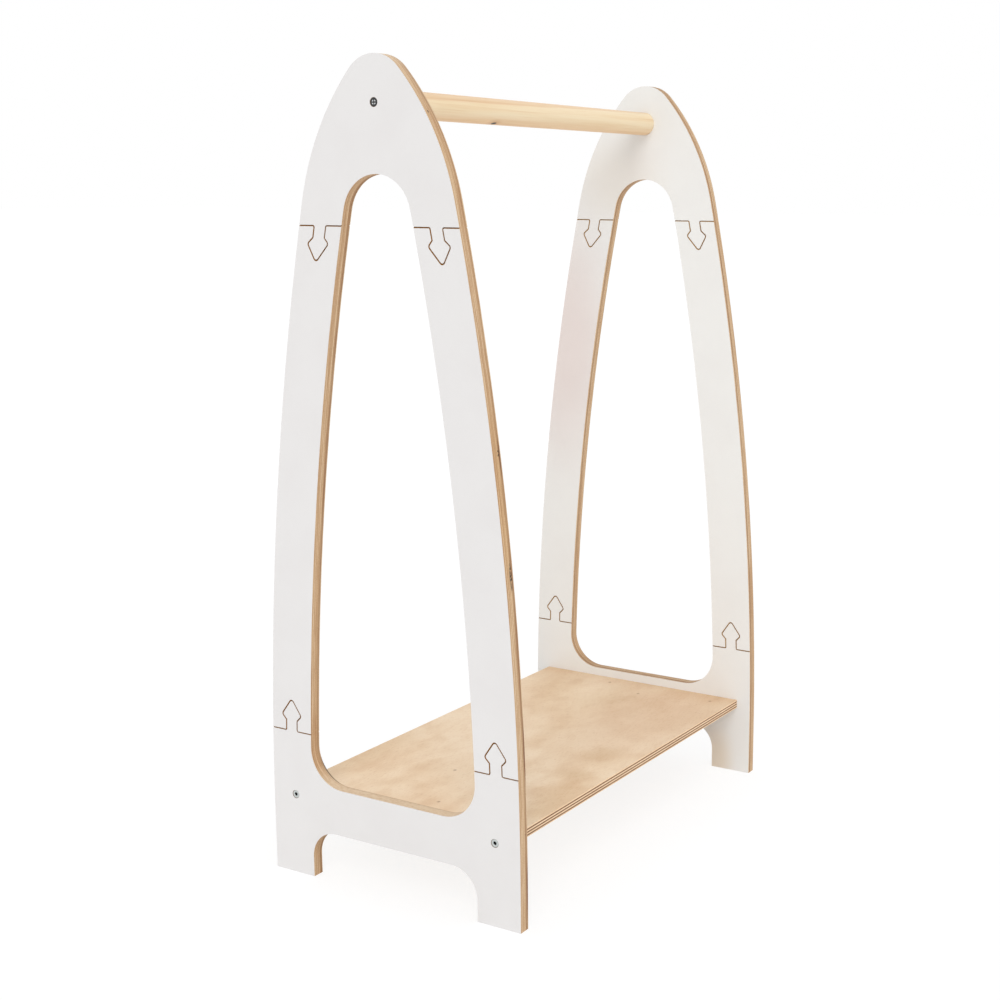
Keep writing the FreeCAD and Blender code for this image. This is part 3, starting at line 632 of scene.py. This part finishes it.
def bare_birch_plywood():
    """Sanded birch plywood: silky and pale on its faces, striped on its edges."""
    material, add, place = start_material("bare birch plywood, rotary-cut and sanded")
    veneer, fibre = birch_veneer(add, place)
    normal = add("NewGeometry")["True Normal"]
    facing = add("VectorMath", {0: normal}, operation="ABSOLUTE")[0]
    facing = add("SeparateXYZ", {0: facing})
    parts = add("SeparateXYZ", {0: place})
    bottom = SHELF_TOP - 2 * SHELF_HALF[2]
    layer = {"Value": parts["Z"], "From Min": bottom, "From Max": SHELF_TOP, "To Max": DRAWN_PLIES}
    layer = add("MapRange", layer)[0]
    ply = add("Math", {0: layer}, operation="FLOOR")[0]
    odd = add("Math", {0: ply, 1: 2.0}, operation="MODULO")[0]
    tone = add("TexWhiteNoise", {"W": ply}, noise_dimensions="1D")[0]
    line = figure(add, place, EDGE_GRAIN)
    plies = {0: odd, COLOUR_A: linear("F8DCB8"), COLOUR_B: linear("845A38")}
    edge = add("Mix", plies, **COLOURS)[COLOUR_OUT]
    edge = stain(add, edge, tone, 0.0, 1.0, 0.2, "D8BC9C")
    edge = stain(add, edge, line, 0.45, 0.7, 0.4, "D2B494")
    is_face = add("Math", {0: facing["Z"], 1: FACE_FACING}, operation="GREATER_THAN")[0]
    colour = add("Mix", {0: is_face, COLOUR_A: edge, COLOUR_B: veneer}, **COLOURS)[COLOUR_OUT]
    roughness = add("MapRange", {"Value": fibre, "To Min": 0.48, "To Max": 0.66})[0]
    height = add("Mix", {0: is_face, NUMBER_A: line, NUMBER_B: fibre}, data_type="FLOAT")[0]
    finish_material(add, colour, roughness, height, height_mm=0.04, IOR=1.5)
    return material


shelf_board.data.materials.append(bare_birch_plywood())
print("shelf:", SHELF_PLIES, "plies of", round(2 * SHELF_HALF[2] / SHELF_PLIES, 2), "mm")

# %% [markdown]
# ## The rail
# The rail is a 30 mm dowel, turned round and butted between the crowns. It is a circle carried along x,
# with the sharp rim at each end broken by a small rounding, so that a fine shadow line shows where it meets
# a crown. Blender's own cylinder with a bevel would do too, but rings let one function close every piece.

# %% Turned rail
low, high = (np.array(corner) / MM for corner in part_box("hanging_rail"))
RAIL_MIDDLE = (low + high) / 2
RAIL_HALF = (high - low) / 2
RAIL_EASE = 0.6
RAIL_COLUMNS = 96


def rail_rings():
    """Circles along x: the radius is drawn in by a quarter round at each end."""
    reach, inset = quarter_round(RAIL_EASE)
    along = RAIL_HALF[0] - reach[::-1]
    along = np.concatenate([-along, along[::-1]])[:, None]
    radius = RAIL_HALF[2] - np.concatenate([inset[::-1], inset])[:, None]
    turn = np.linspace(0, math.radians(360), RAIL_COLUMNS, endpoint=False)[None]
    rings = np.broadcast_arrays(along, radius * np.cos(turn), radius * np.sin(turn))
    return (np.stack(rings, -1) + RAIL_MIDDLE)[None]


rail = closed_tubes("turned_rail", rail_rings(), "hanging_rail")

# %% [markdown]
# ## Turned softwood
# The dowel is pale softwood, sanded. The growth rings run along it, so they show as long, slightly
# wandering lines. One band of pink late wood lies over its top, cut at a slant, so that its border climbs
# out of sight towards the right, and a dark knot sits on the underside. Softwood is the place for straight,
# long streaks: noise that is drawn out many times as far along x as across it.

# %% Grain of the rail
BAND_HEIGHT = 9.1
BAND_CLIMB = 0.0135
BAND_WANDER = 3.0
BAND_FADE = (0.9, 2.6)
# painted light: the warmer underside stands for bounce light from the shelf
UNDERSIDE_BOUNCE = (-4.0, -14.0)  # heights from the rail's middle where its warmer underside starts and is full
BROAD_RINGS = (260.0, 7.0, 7.0)
RING_LINES = (190.0, 1.3, 1.3)
RAIL_FIBRE = (40.0, 0.7, 0.7)  # real fibres are far finer than a pixel, so they are drawn coarser
KNOT = ((-86.0, -5.8, 887.2), (4.4, 2.6, 2.6))
KNOT_HALO = 2.2


def turned_softwood():
    """Sanded softwood: long faint lines and a silky sheen along the grain."""
    material, add, place = start_material("pale softwood dowel, turned and sanded")
    parts = add("SeparateXYZ", {0: place})
    height = add("Math", {0: parts["Z"], 1: RAIL_MIDDLE[2]}, operation="SUBTRACT")[0]
    fibre = figure(add, place, RAIL_FIBRE)
    line = figure(add, place, RING_LINES, detail=2.0)
    broad = figure(add, place, BROAD_RINGS, detail=2.0)
    border = add("Math", {0: parts["X"], 1: BAND_CLIMB, 2: BAND_HEIGHT}, operation="MULTIPLY_ADD")[0]
    over = add("Math", {0: height, 1: border}, operation="SUBTRACT")[0]
    over = add("Math", {0: broad, 1: BAND_WANDER, 2: over}, operation="MULTIPLY_ADD")[0]
    plain = {0: broad, COLOUR_A: linear("EFDCBB"), COLOUR_B: linear("EDD8B4")}
    colour = add("Mix", plain, **COLOURS)[COLOUR_OUT]
    colour = stain(add, colour, over, *BAND_FADE, 0.9, "F4E6DC")
    colour = stain(add, colour, broad, 0.45, 0.7, 0.5, "F4E7D6")
    colour = stain(add, colour, line, 0.55, 0.75, 0.5, "EAD6BC")
    colour = stain(add, colour, fibre, 0.5, 0.75, 0.3, "EDDEC6")
    # painted light: the underside is tinted warm, for bounce light from the shelf
    colour = stain(add, colour, height, *UNDERSIDE_BOUNCE, 0.9, "FBE9DA")
    centre, size = KNOT
    wide = tuple(KNOT_HALO * value for value in size)
    colour = stain(add, colour, spot(add, place, centre, wide, soft=0.8), 0.0, 1.0, 0.5, "C9A87E")
    knot = {0: spot(add, place, centre, size, soft=0.25), COLOUR_A: colour, COLOUR_B: linear("1E1000")}
    colour = add("Mix", knot, **COLOURS)[COLOUR_OUT]
    roughness = add("MapRange", {"Value": fibre, "To Min": 0.42, "To Max": 0.58})[0]
    finish_material(add, colour, roughness, fibre, height_mm=0.03, IOR=1.5)
    return material


rail.data.materials.append(turned_softwood())
print("rail:", round(2 * RAIL_HALF[2], 1), "mm thick,", round(2 * RAIL_HALF[0], 1), "mm long")

# %% [markdown]
# ## The screws
# Two kinds of countersunk screw show. Four connector screws with a hexagon socket hold the shelf, and two
# black ones with a cross recess hold the rail. A screw is turned, so it is a profile carried round its
# axis, and only the rings of its recess aren't round: there the radius is the distance from the middle to
# the side of a hexagon, or to the outline of a cross, in each direction. A Boolean cut would leave ragged
# faces round the recess, and rings keep them in order. The heads lie a hair below the film.

# %% Outlines of the recesses
SCREW_COLUMNS = 120
TINY = 0.001  # keeps the cross's formula from dividing by nought
SOCKET = {"width": 4.0, "deep": 2.6, "narrowing": 0.96, "length": 50.0}
CROSS = {"across": 5.6, "blade": 1.3, "deep": 1.9, "narrowing": 0.6, "length": 60.0}


def hexagon_reach(turn, width):
    """From the middle of a hexagon to its side: half its width over the cosine of the turn from a flat."""
    sixth = math.radians(60)
    from_flat = (turn + sixth / 2) % sixth - sixth / 2
    return width / 2 / np.cos(from_flat)


def cross_reach(turn, length, blade):
    """From the middle of a cross to its outline: the farther of two blades, each to its side or its end."""
    level = np.maximum(np.abs(np.cos(turn)), TINY)
    steep = np.maximum(np.abs(np.sin(turn)), TINY)
    one = np.minimum(length / 2 / level, blade / 2 / steep)
    other = np.minimum(blade / 2 / level, length / 2 / steep)
    return np.maximum(one, other)


turn = np.linspace(0, math.radians(360), SCREW_COLUMNS, endpoint=False)
socket = hexagon_reach(turn, SOCKET["width"])
cross = cross_reach(turn, CROSS["across"], CROSS["blade"])
for name, reach in (("socket", socket), ("cross", cross)):
    print(name, "reaches", round(reach.min(), 2), "to", round(reach.max(), 2), "mm from its middle")

# %% Screw surfaces
HEAD_SUNK = 0.25
HEAD_RIM = 0.3
RECESS_LIP = 0.2
SHANK_RADIUS = HEAD_RADIUS / 2
TIP_SHARE = 0.25


def screw_rings(turn, recess, deep, narrowing, length):
    """Rings from the recess's floor up its wall, over lip, flat and rim, down the cone and to the tip."""
    even = np.ones_like(turn)
    rim = HEAD_RADIUS - HEAD_RIM
    depth, radius = zip(
        (deep, recess * narrowing),
        (HEAD_SUNK + RECESS_LIP, recess),
        (HEAD_SUNK, recess + RECESS_LIP),
        (HEAD_SUNK, even * (rim - HEAD_RIM)),
        (HEAD_SUNK + HEAD_RIM / 4, even * (rim - HEAD_RIM / 3)),
        (HEAD_SUNK + HEAD_RIM, even * rim),
        (HEAD_SUNK + HEAD_RIM + rim - SHANK_RADIUS, even * SHANK_RADIUS),
        (length - SHANK_RADIUS, even * SHANK_RADIUS),
        (length, even * SHANK_RADIUS * TIP_SHARE),
    )
    return np.array(depth)[:, None] * even, np.array(radius)


def screws_at(turn, rings, *places):
    """The rings set in the left frame at each place in y and z, and turned half round into the right one."""
    depth, radius = rings
    ring = np.stack([depth - BOARD_OUTER, radius * np.cos(turn), radius * np.sin(turn)], -1)
    left = ring + np.array([(0.0, *place) for place in places])[:, None, None]
    return np.concatenate([left, left * (-1, -1, 1)])


socket = screw_rings(turn, socket, SOCKET["deep"], SOCKET["narrowing"], SOCKET["length"])
rear, up = SHELF_SCREW
socket_screws = screws_at(turn, socket, (rear, up), (-rear, up))
shelf_screws = closed_tubes("connector_screws", socket_screws, "shelf_screws")
cross = screw_rings(turn, cross, CROSS["deep"], CROSS["narrowing"], CROSS["length"])
cross_screws = screws_at(turn, cross, RAIL_SCREW)
rail_screws = closed_tubes("rail_end_screws", cross_screws, "rail_screws")

# %% [markdown]
# ## Screw steel
# Zinc plate is a clear, slightly blue metal with a fine grain left by the bath, and the sockets hold dirt
# and shade. The black is a thin phosphate coat on steel, dark but still a metal, so it glints at its rim,
# and the bit that turned it has worn it bright round the cross. Two materials could be written, but one
# recipe makes both: two close tones and a dark recess, and a worn middle for the black.

# %% Zinc and black steel
WORN_RADIUS = 2.9
CRYSTAL_SIZE = (0.8, 0.8, 0.8)  # real crystals are finer than a pixel, so they are drawn coarser
ZINC = {"pale": "DDE2E0", "dark": "B4BBBA", "smooth": 0.22, "rough": 0.38}
BLACK = {"pale": "545556", "dark": "343536", "smooth": 0.3, "rough": 0.45, "worn": "E0E2E4"}


def plated_steel(name, pale, dark, smooth, rough, worn=None):
    """Plated steel: two close tones and a roughness that follow the bath's crystals, dark in the recess."""
    material, add, place = start_material(name)
    crystal = figure(add, place, CRYSTAL_SIZE)
    parts = add("SeparateXYZ", {0: place})
    across = add("Math", {0: parts["X"]}, operation="ABSOLUTE")[0]
    depth = add("Math", {0: BOARD_OUTER, 1: across}, operation="SUBTRACT")[0]
    tones = {0: crystal, COLOUR_A: linear(dark), COLOUR_B: linear(pale)}
    colour = add("Mix", tones, **COLOURS)[COLOUR_OUT]
    if worn:
        far = (2 * BOARD_OUTER, WORN_RADIUS, WORN_RADIUS)
        bare = spot(add, place, (0.0, *RAIL_SCREW), far, soft=0.15)
        bare = {0: bare, COLOUR_A: colour, COLOUR_B: linear(worn)}
        colour = add("Mix", bare, **COLOURS)[COLOUR_OUT]
    # painted shade and dirt: below its lip the recess is darkened to near black
    colour = stain(add, colour, depth, HEAD_SUNK + RECESS_LIP, 3 * HEAD_SUNK + RECESS_LIP, 0.95, "0C0C0C")
    roughness = add("MapRange", {"Value": crystal, "To Min": smooth, "To Max": rough})[0]
    finish_material(add, colour, roughness, crystal, height_mm=0.01, Metallic=1.0)
    return material


zinc = plated_steel("zinc-plated steel, bright", **ZINC)
black = plated_steel("black phosphated steel, worn bright", **BLACK)
shelf_screws.data.materials.append(zinc)
rail_screws.data.materials.append(black)
print("screws:", zinc.name, "and", black.name)
